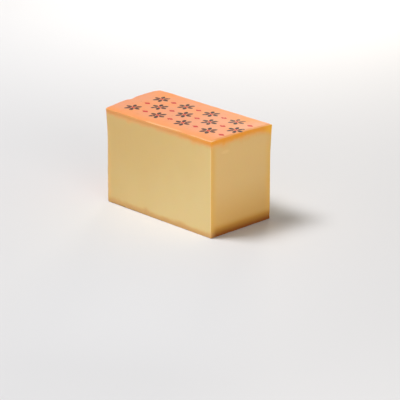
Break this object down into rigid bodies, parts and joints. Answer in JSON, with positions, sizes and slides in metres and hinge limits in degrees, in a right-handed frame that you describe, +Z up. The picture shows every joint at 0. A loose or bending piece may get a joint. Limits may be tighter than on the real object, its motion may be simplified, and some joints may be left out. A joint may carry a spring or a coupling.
{
  "type": "gruyere block",
  "caption": "Upright block of hard cheese cut from a big wheel: smooth pale cut sides, orange rind over the top, the base and the curved heel at one end.",
  "frame": {"origin": "middle of the block's bounding box, on the rind face that it stands on", "axes": "+Z up, from the lower rind to the upper rind; +X along the block, from the wheel's heel to the end cut; +Y from the front cut to the back cut"},
  "size_m": [0.1746, 0.0878, 0.1059],
  "materials": {
    "cheese": "smooth, slightly waxy cut cheese; orange to brown washed rind on the top, base and heel"
  },
  "bodies": {
    "root": {"cheese_block": "cheese"}
  },
  "joints": []
}
